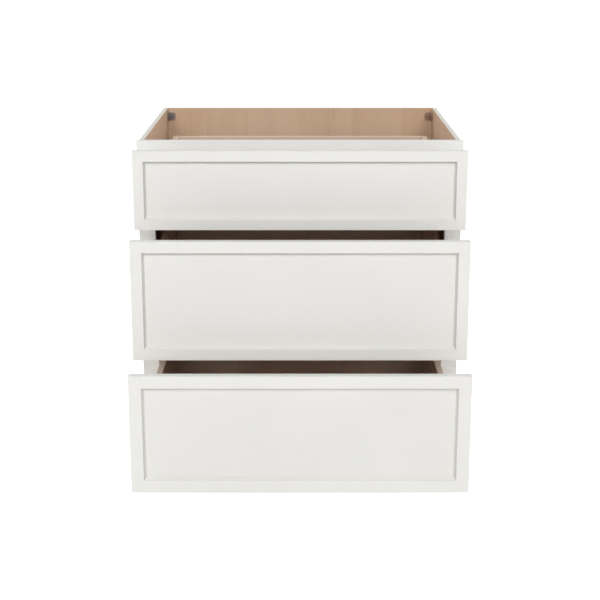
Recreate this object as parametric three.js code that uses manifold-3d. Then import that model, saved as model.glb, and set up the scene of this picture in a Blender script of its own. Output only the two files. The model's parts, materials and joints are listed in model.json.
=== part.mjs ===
// Kitchen base cabinet with three drawers: a plywood carcass with a face frame, open at the top, and
// three dovetailed drawers with slim five-piece fronts, on full-extension runners below the boxes.
//
// Millimetres. +X is to the right of someone who faces the drawers, +Y runs to the wall, +Z is up.
// Inside this file Y is 0 on the face frame's front plane and Z is 0 on the floor. The finished group
// is moved along Y, so that its origin lies on the floor below the middle of the whole object.
import * as THREE from "three";
import { mergeVertices } from "three/addons/utils/BufferGeometryUtils.js";
import Module from "manifold-3d";

const wasm = await Module();
wasm.setup();

// ---------------------------------------------------------------- driving dimensions

// Carcass
const cabinetWidth = 762; // over the face frame, 30 in
const cabinetHeight = 876.3; // floor to the worktop's underside, 34.5 in
const cabinetDepth = 609.6; // face frame's front to the wall, 24 in
const sideThickness = 12;
const sideInset = 4.8; // the side panel stands back from the stile's outer edge
const backThickness = 12.7;
const floorThickness = 12.7;
const floorDado = 5; // depth of the side panels' dado that carries the floor
const kickHeight = 114.3; // clear height of the toe space, 4.5 in
const kickRecess = 76.2; // depth of the toe space, 3 in
const kickThickness = 12;

// Face frame
const frameThickness = 19.05;
const stileWidth = 38.1;
const railHeight = 38.1;
const frameGroove = 6; // groove behind each stile, for the side panel's front edge
const tenonLength = 12;
const tenonThickness = 9;
const tenonShoulder = 6; // the rail's height above and below its tenon

// Corner brackets at the top of the back corners
const bracketDrop = 11.3; // below the cabinet's top edge
const bracketHeight = 21;
const bracketReach = 20;
const bracketWall = 3;
const bracketScrewRadius = 2.5;

// Drawer fronts
const topReveal = 5.4; // face frame above the top front
const sideReveal = 3.2; // face frame beside each front
const bottomOverlay = 20; // the bottom front covers this much of the bottom rail
const frontGap = 3.8; // between two fronts
const topFrontHeight = 181;
const frontThickness = 19.05;
const bumperGap = 1.5; // between a closed front and the face frame
const coveWidth = 5; // hollow inner edge of the front's frame
const coveDepth = 9.6;
const coveStart = (75 * Math.PI) / 180; // its slope to the face where it leaves the face
const coveEnd = (50 * Math.PI) / 180; // and where it meets the centre panel
const coveFacets = 5;
const panelRecess = 10.2; // centre panel's face below the frame's face
const tongueThickness = 6; // the centre panel's edge, rebated from behind
const tonguePlay = 0.2; // between that tongue and each wall of its groove
const panelGroove = 9; // depth of that groove
const panelEdgeGap = 0.8; // room for the centre panel to swell

// Drawer boxes
const boxClearance = 5.5; // beside the box, to the stile's inner edge
const boxRearClearance = 39.5; // behind the closed box, to the back panel
const boxBoard = 15;
const deepBoxHeight = 180;
const topBoxHeight = 100;
const boxBottomThickness = 9;
const boxBottomRecess = 12.7; // space below the box's bottom, for the runners
const boxBottomGroove = 6;
const tailPitch = 30; // wanted height of one dovetail and its pin
const pinWidth = 9; // pin's width at its narrow end
const lowPinRoom = 4; // the lowest pin reaches this far above the notch for the runners
const tailSlope = 1 / 6;
const notchMargin = 3; // room in the box's back around a runner

// Runners
const sheet = 1.2; // steel of the channels
const flangeSheet = 1.5; // steel of the fixed member's upright flange and foot
const flangeGap = 0.3; // between the flange and the stile's inner edge
const flangeRise = 25; // flange above the box's lower edge
const channelWidth = 19.2;
const channelHeight = 11.4;
const channelLip = 3.2;
const channelGap = 2; // between the fixed and the sliding channel
const channelInset = 3; // between the box's side and the channel
const runnerPlay = 0.4; // around the carriage inside both channels
const runnerSeat = 0.3; // between the sliding channel and the box's bottom
const runnerFloorClearance = 1.7; // between the lowest runner and the cabinet's floor
const runnerSetback = 3; // the runner's front end behind the face frame's front
const runnerRearGap = 60; // the fixed channel's rear end to the back panel
const carriageSetback = 3; // the carriage's front end behind the box's front board
const footMargin = 4; // between the runner's foot and the side panel
const runnerScrewRadius = 2.5;
const hookHeight = 10; // hook of the sliding channel, behind the box's back

// Fits
const glueLine = 0.1; // in every glued joint
const looseFit = 0.3; // between pieces that are screwed or hooked on

// How far each drawer is pulled out, and the flat part of its front's frame, without the hollow
const bottomOpening = 301.5;
const middleOpening = 200;
const topOpening = 98.5;
const bottomFrameWidth = 28.5;
const middleFrameWidth = 26;
const topFrameWidth = 23.5;

// What raises a box and its runners against its front, compared with the bottom drawer's
const middleBoxLift = 4.8;
const topBoxLift = -3.5;

// ---------------------------------------------------------------- sizes that follow

const halfWidth = cabinetWidth / 2;
const openingHalf = halfWidth - stileWidth;
const sideOuterX = halfWidth - sideInset;
const sideInnerX = sideOuterX - sideThickness;
const floorTop = kickHeight + railHeight;
const backFace = cabinetDepth - backThickness;

const frontHalf = halfWidth - sideReveal;
const fullFrontHeight = cabinetHeight - topReveal - (floorTop - bottomOverlay);
const deepFrontHeight = (fullFrontHeight - topFrontHeight - 2 * frontGap) / 2;
const frontBackY = -bumperGap; // back of a closed front
const frontFaceY = frontBackY - frontThickness;
const grooveWidth = tongueThickness + 2 * tonguePlay;

const boxHalf = openingHalf - boxClearance;
const boxInnerX = boxHalf - boxBoard;
const boxFrontY = frontBackY + glueLine;
const boxBackY = backFace - boxRearClearance;

// Runner sections. Heights are above the box's lower edge, and X is that of the right-hand runner.
const flangeX = openingHalf - flangeGap;
const channelOuterX = boxInnerX - channelInset;
const channelInnerX = channelOuterX - channelWidth;
const slideTop = boxBottomRecess - runnerSeat;
const slideMouth = slideTop - channelHeight;
const railMouth = slideMouth - channelGap;
const railBottom = railMouth - channelHeight;
const runnerEndY = backFace - runnerRearGap;

const drawers = [
  {
    name: "bottom",
    opening: bottomOpening,
    frameWidth: bottomFrameWidth,
    frontHeight: deepFrontHeight,
    boxHeight: deepBoxHeight,
    boxLift: 0,
  },
  {
    name: "middle",
    opening: middleOpening,
    frameWidth: middleFrameWidth,
    frontHeight: deepFrontHeight,
    boxHeight: deepBoxHeight,
    boxLift: middleBoxLift,
  },
  {
    name: "top",
    opening: topOpening,
    frameWidth: topFrameWidth,
    frontHeight: topFrontHeight,
    boxHeight: topBoxHeight,
    boxLift: topBoxLift,
  },
];

// ---------------------------------------------------------------- finishes

const paint = new THREE.MeshStandardMaterial({ color: 0xebeae6, roughness: 0.45 });
const plywood = new THREE.MeshStandardMaterial({ color: 0xcaa588, roughness: 0.6 });
const steel = new THREE.MeshStandardMaterial({ color: 0xb4b6b8, roughness: 0.35, metalness: 1 });
const plastic = new THREE.MeshStandardMaterial({ color: 0x6e675f, roughness: 0.55 });

// ---------------------------------------------------------------- making and placing

function named(name, geometry, material) {
  const mesh = new THREE.Mesh(geometry, material);
  mesh.name = name;
  return mesh;
}

// A left and a right piece: the right one as drawn, the left one its mirror image.
function pair(name, geometry, material) {
  return [-1, 1].map((side) => {
    const mesh = named(`${name}_${side < 0 ? "left" : "right"}`, geometry, material);
    mesh.scale.x = side;
    return mesh;
  });
}

// A box between two corners.
function block(low, high) {
  const size = high.map((value, axis) => value - low[axis]);
  const middle = high.map((value, axis) => (value + low[axis]) / 2);
  return new THREE.BoxGeometry(...size).translate(...middle);
}

function outline(points) {
  return new THREE.Shape(points.map(([u, v]) => new THREE.Vector2(u, v)));
}

function extruded(shape, length) {
  return new THREE.ExtrudeGeometry(shape, { depth: length, bevelEnabled: false, curveSegments: 8 });
}

// An outline of (Y, Z) points, run along X.
function alongX(shape, from, to) {
  const turn = new THREE.Matrix4().makeBasis(
    new THREE.Vector3(0, 1, 0),
    new THREE.Vector3(0, 0, 1),
    new THREE.Vector3(1, 0, 0),
  );
  return extruded(shape, to - from).applyMatrix4(turn).translate(from, 0, 0);
}

// An outline of (X, Z) points, run along Y.
function alongY(shape, from, to) {
  return extruded(shape, to - from).rotateX(Math.PI / 2).translate(0, to, 0);
}

// An outline of (X, Y) points, run along Z.
function alongZ(shape, from, to) {
  return extruded(shape, to - from).translate(0, 0, from);
}

// A closed geometry as a solid that can be cut and joined.
function solid(geometry) {
  const bare = geometry.clone();
  bare.deleteAttribute("normal");
  bare.deleteAttribute("uv");
  const merged = mergeVertices(bare);
  return new wasm.Manifold(
    new wasm.Mesh({
      numProp: 3,
      vertProperties: merged.attributes.position.array,
      triVerts: new Uint32Array(merged.index.array),
    }),
  );
}

function geometryOf(body) {
  const { vertProperties, triVerts } = body.getMesh();
  const indexed = new THREE.BufferGeometry();
  indexed.setAttribute("position", new THREE.BufferAttribute(vertProperties, 3));
  indexed.setIndex(new THREE.BufferAttribute(triVerts, 1));
  const flat = indexed.toNonIndexed();
  flat.computeVertexNormals();
  return flat;
}

function cut(geometry, tools) {
  return geometryOf(tools.reduce((body, tool) => body.subtract(solid(tool)), solid(geometry)));
}

function join(geometries) {
  return geometryOf(geometries.map(solid).reduce((body, next) => body.add(next)));
}

// A round hole's cutter, centred on a point, along X or Y.
function drill(radius, length, axis, [x, y, z]) {
  const bit = new THREE.CylinderGeometry(radius, radius, length, 12);
  if (axis === "x") bit.rotateZ(Math.PI / 2);
  return bit.translate(x, y, z);
}

// ---------------------------------------------------------------- carcass

// Side panel: one sheet with the toe space cut out of its lower front corner, and a dado for the
// floor. Its front edge sits in the groove behind the stile.
function sidePanel() {
  const frontY = frameThickness - frameGroove + glueLine;
  const profile = outline([
    [frontY, kickHeight],
    [kickRecess, kickHeight],
    [kickRecess, 0],
    [cabinetDepth, 0],
    [cabinetDepth, cabinetHeight],
    [frontY, cabinetHeight],
  ]);
  const dado = block(
    [sideInnerX - 1, frameThickness, floorTop - floorThickness - glueLine],
    [sideInnerX + floorDado + glueLine, backFace, floorTop + glueLine],
  );
  return cut(alongX(profile, sideInnerX, sideOuterX), [dado]);
}

function backPanel() {
  return block(
    [-sideInnerX + glueLine, backFace, 0],
    [sideInnerX - glueLine, cabinetDepth, cabinetHeight],
  );
}

function cabinetFloor() {
  return block(
    [-sideInnerX - floorDado, frameThickness + glueLine, floorTop - floorThickness],
    [sideInnerX + floorDado, backFace - glueLine, floorTop],
  );
}

function kickBoard() {
  return block(
    [-sideInnerX + glueLine, kickRecess, 0],
    [sideInnerX - glueLine, kickRecess + kickThickness, floorTop - floorThickness - glueLine],
  );
}

// Stile of the face frame, with the side panel's groove down its back and a blind mortise for each
// rail's tenon.
function faceStile() {
  const profile = outline([
    [openingHalf, 0],
    [halfWidth, 0],
    [halfWidth, frameThickness],
    [sideOuterX + glueLine, frameThickness],
    [sideOuterX + glueLine, frameThickness - frameGroove],
    [sideInnerX - glueLine, frameThickness - frameGroove],
    [sideInnerX - glueLine, frameThickness],
    [openingHalf, frameThickness],
  ]);
  const mortises = [kickHeight, cabinetHeight - railHeight].map((railZ) =>
    faceTenon(railZ, openingHalf - 1, glueLine),
  );
  return cut(alongZ(profile, kickHeight, cabinetHeight), mortises);
}

// The right-hand tenon of a rail, or with some room around it, its mortise.
function faceTenon(railZ, fromX, room) {
  const middleY = frameThickness / 2;
  return block(
    [fromX, middleY - tenonThickness / 2 - room, railZ + tenonShoulder - room],
    [
      openingHalf + tenonLength + room,
      middleY + tenonThickness / 2 + room,
      railZ + railHeight - tenonShoulder + room,
    ],
  );
}

function faceRail(railZ) {
  const end = openingHalf - glueLine;
  const rail = block([-end, 0, railZ], [end, frameThickness, railZ + railHeight]);
  const tenon = faceTenon(railZ, 0, 0);
  const mirrored = faceTenon(railZ, 0, 0).rotateZ(Math.PI).translate(0, frameThickness, 0);
  return join([rail, tenon, mirrored]);
}

// Moulded bracket in a back corner: a flange on the back, a flange on the side, and a level web
// between them with the worktop's screw hole.
function cornerBracket() {
  const low = cabinetHeight - bracketDrop - bracketHeight;
  const cornerX = sideInnerX - looseFit;
  const cornerY = backFace - looseFit;
  const nose = bracketHeight / 2;
  const tab = new THREE.Shape();
  tab.moveTo(0, 0);
  tab.lineTo(bracketReach - nose / 2, 0);
  tab.quadraticCurveTo(bracketReach, 0, bracketReach, nose);
  tab.quadraticCurveTo(bracketReach, bracketHeight, bracketReach - nose / 2, bracketHeight);
  tab.lineTo(0, bracketHeight);
  const onBack = alongY(tab, 0, bracketWall)
    .rotateZ(Math.PI)
    .translate(cornerX, cornerY, low);
  const onSide = alongY(tab, 0, bracketWall)
    .rotateZ(-Math.PI / 2)
    .translate(cornerX - bracketWall, cornerY, low);
  const reach = bracketReach - bracketWall;
  const webZ = low + nose - bracketWall / 2;
  const web = alongZ(
    outline([
      [cornerX, cornerY],
      [cornerX - reach, cornerY],
      [cornerX, cornerY - reach],
    ]),
    webZ,
    webZ + bracketWall,
  );
  const screw = new THREE.CylinderGeometry(
    bracketScrewRadius,
    bracketScrewRadius,
    2 * bracketWall,
    12,
  )
    .rotateX(Math.PI / 2)
    .translate(cornerX - reach / 3 - 1, cornerY - reach / 3 - 1, webZ + bracketWall / 2);
  return cut(join([onBack, onSide, web]), [screw]);
}

function carcass() {
  const group = new THREE.Group();
  group.add(
    ...pair("side_panel", sidePanel(), plywood),
    named("back_panel", backPanel(), plywood),
    named("cabinet_floor", cabinetFloor(), plywood),
    named("toe_kick_board", kickBoard(), paint),
    ...pair("face_stile", faceStile(), paint),
    named("face_top_rail", faceRail(cabinetHeight - railHeight), paint),
    named("face_bottom_rail", faceRail(kickHeight), paint),
    ...pair("corner_bracket", cornerBracket(), plastic),
  );
  return group;
}

// ---------------------------------------------------------------- runners

// A C-shaped channel with turned-in lips, from its open mouth to its web.
function channelPoints(mouth, web) {
  const inward = Math.sign(web - mouth) * sheet;
  const lip = sheet + channelLip;
  return [
    [channelOuterX, web],
    [channelOuterX, mouth],
    [channelOuterX - lip, mouth],
    [channelOuterX - lip, mouth + inward],
    [channelOuterX - sheet, mouth + inward],
    [channelOuterX - sheet, web - inward],
    [channelInnerX + sheet, web - inward],
    [channelInnerX + sheet, mouth + inward],
    [channelInnerX + lip, mouth + inward],
    [channelInnerX + lip, mouth],
    [channelInnerX, mouth],
    [channelInnerX, web],
  ];
}

// Fixed member: a channel that opens upwards, carried by a web that passes below the box's side from
// an upright flange. The flange is screwed to the stile in front and ends in a foot on the back panel.
function runnerRail() {
  const channel = alongY(outline(channelPoints(railMouth, railBottom)), runnerSetback, runnerEndY);
  const web = block(
    [channelOuterX - sheet, runnerSetback, railBottom],
    [flangeX, runnerEndY, railBottom + sheet],
  );
  const footY = backFace - looseFit;
  const flange = block(
    [flangeX - flangeSheet, runnerSetback, railBottom],
    [flangeX, footY, flangeRise],
  );
  const foot = block(
    [flangeX - flangeSheet, footY - flangeSheet, railBottom],
    [sideInnerX - footMargin, footY, flangeRise],
  );
  const footScrewX = (flangeX + sideInnerX - footMargin) / 2;
  const screws = [flangeRise * 0.3, flangeRise * 0.7].flatMap((height) => [
    drill(runnerScrewRadius, 4 * flangeSheet, "x", [flangeX, frameThickness / 2, height]),
    drill(runnerScrewRadius, 4 * flangeSheet, "y", [footScrewX, footY, height]),
  ]);
  return cut(join([channel, web, flange, foot]), screws);
}

// Half of the carriage's section, wide in each channel and narrow between their lips. The carriage
// is rolled from sheet, so the same outline drawn one sheet further in is its hollow.
function carriageSection(inset) {
  const middleX = (channelInnerX + channelOuterX) / 2;
  const middleZ = (slideMouth + railMouth) / 2;
  const head = channelWidth / 2 - sheet - runnerPlay - inset;
  const neck = channelWidth / 2 - sheet - channelLip - runnerPlay - inset;
  const shoulder = channelGap / 2 + sheet + runnerPlay + inset;
  const crown = channelGap / 2 + channelHeight - sheet - runnerPlay - inset;
  const quarter = [
    [neck, shoulder],
    [head, shoulder],
    [head, crown],
  ];
  const right = [...quarter.map(([x, z]) => [x, -z]).reverse(), ...quarter];
  const left = right.map(([x, z]) => [-x, z]).reverse();
  return [...right, ...left].map(([x, z]) => new THREE.Vector2(middleX + x, middleZ + z));
}

function runnerCarriage() {
  const section = new THREE.Shape(carriageSection(0));
  section.holes.push(new THREE.Path(carriageSection(sheet)));
  return alongY(section, boxFrontY + boxBoard + carriageSetback, runnerEndY);
}

// Sliding member: a channel that opens downwards below the box's bottom, with a hook behind the back.
function runnerSlide() {
  const hookY = boxBackY + looseFit;
  const end = hookY + flangeSheet;
  const channel = alongY(
    outline(channelPoints(slideMouth, slideTop)),
    boxFrontY + boxBoard + looseFit,
    end,
  );
  const hook = block(
    [channelInnerX + channelLip, hookY, slideTop - sheet],
    [channelOuterX - channelLip, end, slideTop + hookHeight],
  );
  return join([channel, hook]);
}

// ---------------------------------------------------------------- drawer front

// The hollow inner edge of the front's frame, a shallow arc that is steepest at the face, as points of
// (distance from the outer edge, depth).
function covePoints(flatWidth) {
  const across = (slope) => Math.sin(coveStart) - Math.sin(slope);
  const down = (slope) => Math.cos(slope) - Math.cos(coveStart);
  return Array.from({ length: coveFacets + 1 }, (_, index) => {
    const slope = coveStart + (index / coveFacets) * (coveEnd - coveStart);
    return [
      flatWidth + (coveWidth * across(slope)) / across(coveEnd),
      (coveDepth * down(slope)) / down(coveEnd),
    ];
  });
}

// Section of the front's frame: distance from its outer edge against depth behind its face. The
// centre panel sits in a groove below the hollow.
function frameSection(frameWidth) {
  const inner = frameWidth + coveWidth;
  return [
    [0, 0],
    ...covePoints(frameWidth),
    [inner, panelRecess - tonguePlay],
    [inner - panelGroove, panelRecess - tonguePlay],
    [inner - panelGroove, panelRecess - tonguePlay + grooveWidth],
    [inner, panelRecess - tonguePlay + grooveWidth],
    [inner, frontThickness],
    [0, frontThickness],
  ];
}

function frontStile(drawer) {
  const section = frameSection(drawer.frameWidth).map(([across, depth]) => [
    frontHalf - across,
    frontFaceY + depth,
  ]);
  return alongZ(outline(section), drawer.frontZ, drawer.frontZ + drawer.frontHeight);
}

// What a stile takes from a rail's end: the rail is coped over the stile's hollow edge and keeps a
// tongue that fills the stile's groove.
function copeCutters(drawer) {
  const inner = drawer.frameWidth + coveWidth + glueLine;
  const tongueFront = panelRecess - tonguePlay + glueLine;
  const tongueBack = tongueFront + grooveWidth - 2 * glueLine;
  const beyond = 1;
  const frontLip = [
    [-beyond, -beyond],
    [drawer.frameWidth + glueLine, -beyond],
    ...covePoints(drawer.frameWidth + glueLine),
    [inner, tongueFront],
    [-beyond, tongueFront],
  ];
  const backLip = [
    [-beyond, tongueBack],
    [inner, tongueBack],
    [inner, frontThickness + beyond],
    [-beyond, frontThickness + beyond],
  ];
  return [-1, 1].flatMap((side) =>
    [frontLip, backLip].map((lip) =>
      alongZ(
        outline(lip.map(([across, depth]) => [side * (frontHalf - across), frontFaceY + depth])),
        drawer.frontZ - beyond,
        drawer.frontZ + drawer.frontHeight + beyond,
      ),
    ),
  );
}

// Rail of the front, with its outer edge at the given height and its opening above or below it.
function frontRail(drawer, outerZ, towardsOpening) {
  const section = frameSection(drawer.frameWidth).map(([across, depth]) => [
    frontFaceY + depth,
    outerZ + towardsOpening * across,
  ]);
  const end = frontHalf - drawer.frameWidth - coveWidth + panelGroove - panelEdgeGap;
  return cut(alongX(outline(section), -end, end), copeCutters(drawer));
}

// Centre panel: flush with the frame's back, where the box is screwed on, and rebated all round to a
// tongue that sits in the frame's groove.
function frontPanel(drawer) {
  const faceY = frontFaceY + panelRecess;
  const inner = drawer.frameWidth + coveWidth;
  const plate = (inset, backY) =>
    block(
      [-frontHalf + inset, faceY, drawer.frontZ + inset],
      [frontHalf - inset, backY, drawer.frontZ + drawer.frontHeight - inset],
    );
  return join([
    plate(inner - panelGroove + panelEdgeGap, faceY + tongueThickness),
    plate(inner + looseFit, frontBackY),
  ]);
}

// ---------------------------------------------------------------- drawer box

// The tails at one end of a box side, as (Y, Z) trapezoids, wide at the end and narrow at the
// shoulder. Half a pin stays above the highest tail, and a tall one below the lowest.
function tails(drawer, shoulderY, endY) {
  const lowPin = boxBottomRecess + lowPinRoom;
  const height = drawer.boxHeight - lowPin + pinWidth / 2;
  const count = Math.max(2, Math.round(height / tailPitch));
  const pitch = height / count;
  const wide = (pitch - pinWidth) / 2;
  const narrow = wide - tailSlope * boxBoard;
  return Array.from({ length: count }, (_, index) => {
    const middle = drawer.boxZ + lowPin + index * pitch + wide;
    return [
      [shoulderY, middle - narrow],
      [endY, middle - wide],
      [endY, middle + wide],
      [shoulderY, middle + narrow],
    ];
  });
}

// Groove for the box's bottom, cut into all four walls alike.
function bottomGroove(drawer) {
  const room = boxBottomGroove + glueLine;
  const low = drawer.boxZ + boxBottomRecess - glueLine;
  return block(
    [-boxInnerX - room, boxFrontY + boxBoard - room, low],
    [boxInnerX + room, boxBackY - boxBoard + room, low + boxBottomThickness + 2 * glueLine],
  );
}

function boxBottom(drawer) {
  const reach = boxBottomGroove - looseFit;
  const low = drawer.boxZ + boxBottomRecess;
  return block(
    [-boxInnerX - reach, boxFrontY + boxBoard - reach, low],
    [boxInnerX + reach, boxBackY - boxBoard + reach, low + boxBottomThickness],
  );
}

function boxSide(drawer) {
  const frontTails = tails(drawer, boxFrontY + boxBoard, boxFrontY);
  const backTails = tails(drawer, boxBackY - boxBoard, boxBackY);
  const top = drawer.boxZ + drawer.boxHeight;
  const profile = outline([
    [boxFrontY + boxBoard, drawer.boxZ],
    [boxBackY - boxBoard, drawer.boxZ],
    ...backTails.flat(),
    [boxBackY - boxBoard, top],
    [boxFrontY + boxBoard, top],
    ...frontTails.map((tail) => [...tail].reverse()).reverse().flat(),
  ]);
  return cut(alongX(profile, boxInnerX, boxHalf), [bottomGroove(drawer)]);
}

// A box front or back: a board whose ends are cut away where the tails of the sides go through.
function pinBoard(drawer, lowY, shoulderY, endY, cuts) {
  const board = block(
    [-boxHalf, lowY, drawer.boxZ],
    [boxHalf, lowY + boxBoard, drawer.boxZ + drawer.boxHeight],
  );
  const away = Math.sign(endY - shoulderY);
  const sockets = tails(drawer, shoulderY, endY).flatMap((tail) => {
    const room = tail.map(([y, z], corner) => [
      y + away * (corner === 1 || corner === 2 ? glueLine : -glueLine),
      z + (corner < 2 ? -glueLine : glueLine),
    ]);
    return [
      alongX(outline(room), boxInnerX - glueLine, boxHalf + 1),
      alongX(outline(room), -boxHalf - 1, -boxInnerX + glueLine),
    ];
  });
  return cut(board, [...sockets, bottomGroove(drawer), ...cuts]);
}

function boxFront(drawer) {
  return pinBoard(drawer, boxFrontY, boxFrontY + boxBoard, boxFrontY, []);
}

// The box's back is notched below the bottom at both ends, where the runners come through.
function boxBack(drawer) {
  const lowY = boxBackY - boxBoard;
  const notches = [-1, 1].map((side) => {
    const near = side * (channelInnerX - notchMargin);
    const far = side * (channelOuterX + channelInset);
    return block(
      [Math.min(near, far), lowY - 1, drawer.boxZ - 1],
      [Math.max(near, far), boxBackY + 1, drawer.boxZ + boxBottomRecess],
    );
  });
  return pinBoard(drawer, lowY, lowY, boxBackY, notches);
}

// ---------------------------------------------------------------- drawers in the cabinet

// Adds one drawer: what stays on the cabinet, the carriages, which run out half as far as the
// drawer, and the drawer itself, pulled out by its opening.
function addDrawer(group, drawer) {
  const name = drawer.name;

  const fixed = new THREE.Group();
  fixed.position.z = drawer.boxZ;
  fixed.add(...pair(`${name}_runner_rail`, runnerRail(), steel));

  const carriage = new THREE.Group();
  carriage.position.set(0, -drawer.opening / 2, drawer.boxZ);
  carriage.add(...pair(`${name}_runner_carriage`, runnerCarriage(), steel));

  const sliding = new THREE.Group();
  sliding.position.y = -drawer.opening;
  const frontTop = drawer.frontZ + drawer.frontHeight;
  sliding.add(
    ...pair(`${name}_front_stile`, frontStile(drawer), paint),
    named(`${name}_front_top_rail`, frontRail(drawer, frontTop, -1), paint),
    named(`${name}_front_bottom_rail`, frontRail(drawer, drawer.frontZ, 1), paint),
    named(`${name}_front_panel`, frontPanel(drawer), paint),
    ...pair(`${name}_box_side`, boxSide(drawer), plywood),
    named(`${name}_box_front`, boxFront(drawer), plywood),
    named(`${name}_box_back`, boxBack(drawer), plywood),
    named(`${name}_box_bottom`, boxBottom(drawer), plywood),
  );
  const slides = new THREE.Group();
  slides.position.z = drawer.boxZ;
  slides.add(...pair(`${name}_runner_slide`, runnerSlide(), steel));
  sliding.add(slides);

  group.add(fixed, carriage, sliding);
}

const group = new THREE.Group();
group.add(carcass());

// The fronts are stacked from the bottom one up. Each box stands a fixed height above its front's
// lower edge, which for the bottom drawer just clears the cabinet's floor, and then its own lift.
let frontZ = floorTop - bottomOverlay;
for (const drawer of drawers) {
  drawer.frontZ = frontZ;
  drawer.boxZ = frontZ + bottomOverlay + runnerFloorClearance - railBottom + drawer.boxLift;
  addDrawer(group, drawer);
  frontZ += drawer.frontHeight + frontGap;
}

// The object's middle in Y, between the front that is pulled out furthest and the wall.
const furthestOpening = Math.max(...drawers.map((drawer) => drawer.opening));
group.position.y = -(frontFaceY - furthestOpening + cabinetDepth) / 2;

export default group;
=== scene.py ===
# %% [markdown]
# # A kitchen base cabinet with three drawers
#
# The cabinet is a plywood box with a painted face frame, open at the top, and three drawers that
# are pulled out in steps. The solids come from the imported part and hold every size. This notebook
# gives them what a photograph shows beyond size: eased edges, paint, wood, steel and the small
# fittings.
#
# Everything is in metres. X runs to the right of someone who faces the drawers, Y runs to the wall
# and Z is up.

# %% Load the part
import json
import math

import bmesh
import bpy
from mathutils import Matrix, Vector

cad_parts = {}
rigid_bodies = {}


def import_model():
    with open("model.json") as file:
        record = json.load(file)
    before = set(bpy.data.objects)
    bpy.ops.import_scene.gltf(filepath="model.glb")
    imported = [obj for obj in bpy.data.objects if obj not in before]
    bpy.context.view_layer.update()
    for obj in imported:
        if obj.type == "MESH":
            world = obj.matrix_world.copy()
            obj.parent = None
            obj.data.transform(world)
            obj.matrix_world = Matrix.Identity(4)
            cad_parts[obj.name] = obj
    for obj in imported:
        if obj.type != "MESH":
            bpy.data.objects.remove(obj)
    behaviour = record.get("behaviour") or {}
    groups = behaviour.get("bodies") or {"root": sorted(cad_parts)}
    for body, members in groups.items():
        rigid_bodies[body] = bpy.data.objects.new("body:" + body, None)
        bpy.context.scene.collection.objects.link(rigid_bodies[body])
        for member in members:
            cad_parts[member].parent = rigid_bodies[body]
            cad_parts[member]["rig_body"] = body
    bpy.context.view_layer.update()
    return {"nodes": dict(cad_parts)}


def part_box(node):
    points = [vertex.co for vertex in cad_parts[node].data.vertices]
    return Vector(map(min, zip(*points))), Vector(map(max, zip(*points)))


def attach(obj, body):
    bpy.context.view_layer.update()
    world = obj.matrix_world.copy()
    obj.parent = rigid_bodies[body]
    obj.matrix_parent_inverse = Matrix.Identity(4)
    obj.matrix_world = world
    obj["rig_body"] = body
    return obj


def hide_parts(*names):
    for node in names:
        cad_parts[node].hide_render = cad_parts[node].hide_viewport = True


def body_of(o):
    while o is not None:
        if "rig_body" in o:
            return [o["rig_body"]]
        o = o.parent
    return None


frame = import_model()
scene = bpy.context.scene
scene.view_settings.view_transform = "Standard"

DRAWERS = ("bottom", "middle", "top")
SIDES = {"left": -1, "right": 1}
ALONG_X, ALONG_Y, ALONG_Z = range(3)
MM = 0.001

# %% [markdown]
# ## The camera
#
# A product photographer stands well back with a long lens, so that the cabinet's upright edges stay
# nearly upright, and looks down by some 15 degrees to show that the cabinet is open at the top. A
# camera fitted to the corners of the cabinet gives the lens, the tilt and the distance.

# %% Place the camera
face_frame_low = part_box("face_stile_left")[0]
face_frame_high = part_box("face_stile_right")[1]
FACE_PLANE = face_frame_low.y
CAMERA_DISTANCE = 3.10872
CAMERA_HEIGHT = 1.34685
CAMERA_TILT = math.radians(90 - 15.37)
LENS_LENGTH, SENSOR_WIDTH = 80.48, 36

lens = bpy.data.cameras.new("product_camera")
lens.lens = LENS_LENGTH
lens.sensor_width = SENSOR_WIDTH
camera = bpy.data.objects.new("product_camera", lens)
camera.location = (0, FACE_PLANE - CAMERA_DISTANCE, CAMERA_HEIGHT)
camera.rotation_euler = (CAMERA_TILT, 0, 0)
scene.collection.objects.link(camera)
scene.camera = camera
print("camera", [round(value, 3) for value in camera.location], "lens", LENS_LENGTH, "mm")

# %% [markdown]
# ## Materials, and helpers for their nodes
#
# Every finish below is a tree of nodes. One helper adds a node and fills its sockets. The others
# draw a pattern, colour the surface by it, and let the roughness and the relief follow it. Colours
# are written as on a paint chart, from 0 to 255, and turned into Blender's linear values.
#
# Patterns read Object coordinates: each piece's object stays at the origin, so a grain or a fleck
# has its real size and moves with its drawer.

# %% Node helpers
NOISE_LOW, NOISE_HIGH = 0.3, 0.7  # most of a noise texture lies between these


def add(tree, kind, inputs=(), **settings):
    """Adds a node, sets its options, and gives its sockets values or other nodes' sockets."""
    made = tree.nodes.new(kind)
    for name, value in settings.items():
        setattr(made, name, value)
    for key, value in dict(inputs).items():
        if isinstance(value, bpy.types.NodeSocket):
            tree.links.new(value, made.inputs[key])
        else:
            made.inputs[key].default_value = value
    return made


def maths(tree, operation, *values):
    """The result of one operation on numbers or sockets."""
    return add(tree, "ShaderNodeMath", dict(enumerate(values)), operation=operation).outputs[0]


def noise(tree, where, scale, detail, distortion=0.0):
    """A cloudy pattern."""
    sizes = {"Vector": where, "Scale": scale, "Detail": detail, "Distortion": distortion}
    return add(tree, "ShaderNodeTexNoise", sizes).outputs["Fac"]


def stretched(tree, where, grain, along, across=1.0):
    """Coordinates for a pattern that is drawn out along one axis."""
    scale = [along if axis == grain else across for axis in range(3)]
    return add(tree, "ShaderNodeMapping", {"Vector": where, "Scale": scale}).outputs["Vector"]


def tone(red, green, blue):
    """A colour of a paint chart, 0 to 255, as linear values by the sRGB curve."""

    def linear(value):
        value /= 255
        return value / 12.92 if value <= 0.04045 else ((value + 0.055) / 1.055) ** 2.4

    return (linear(red), linear(green), linear(blue), 1.0)


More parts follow.
